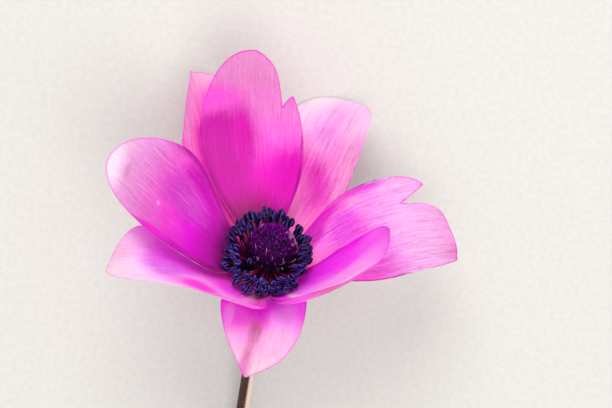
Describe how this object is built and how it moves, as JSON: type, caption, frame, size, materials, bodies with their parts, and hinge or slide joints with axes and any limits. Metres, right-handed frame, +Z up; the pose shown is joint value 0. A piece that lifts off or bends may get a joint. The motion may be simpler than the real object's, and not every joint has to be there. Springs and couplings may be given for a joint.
{
  "type": "anemone flower",
  "caption": "Single cut anemone flower with pink-magenta petals, dark blue stamens around a purple pistil head, and a bare stem, lying on a surface.",
  "frame": {"origin": "on the surface the flower lies on, under the middle of its bounding box", "axes": "+Z up, +Y from the stem's cut end towards the flower head, +X across the head"},
  "size_m": [0.0718, 0.1224, 0.0579],
  "materials": {
    "petal": "soft satin",
    "stamen": "matte",
    "pistil": "matte",
    "stem": "matte"
  },
  "bodies": {
    "root": {"petal_top": "petal", "petal_top_left": "petal", "petal_top_right": "petal", "petal_right": "petal", "petal_front_right": "petal", "petal_front": "petal", "petal_low_left": "petal", "petal_left": "petal", "stamen_01": "stamen", "stamen_02": "stamen", "stamen_03": "stamen", "stamen_04": "stamen", "stamen_05": "stamen", "stamen_06": "stamen", "stamen_07": "stamen", "stamen_08": "stamen", "stamen_09": "stamen", "stamen_10": "stamen", "stamen_11": "stamen", "stamen_12": "stamen", "stamen_13": "stamen", "stamen_14": "stamen", "stamen_15": "stamen", "stamen_16": "stamen", "stamen_17": "stamen", "stamen_18": "stamen", "stamen_19": "stamen", "stamen_20": "stamen", "stamen_21": "stamen", "stamen_22": "stamen", "stamen_23": "stamen", "stamen_24": "stamen", "stamen_25": "stamen", "stamen_26": "stamen", "stamen_27": "stamen", "stamen_28": "stamen", "stamen_29": "stamen", "stamen_30": "stamen", "stamen_31": "stamen", "stamen_32": "stamen", "stamen_33": "stamen", "stamen_34": "stamen", "stamen_35": "stamen", "stamen_36": "stamen", "stamen_37": "stamen", "stamen_38": "stamen", "stamen_39": "stamen", "stamen_40": "stamen", "stamen_41": "stamen", "stamen_42": "stamen", "stamen_43": "stamen", "stamen_44": "stamen", "stamen_45": "stamen", "stamen_46": "stamen", "stamen_47": "stamen", "stamen_48": "stamen", "pistil_head": "pistil", "stem": "stem"}
  },
  "joints": []
}
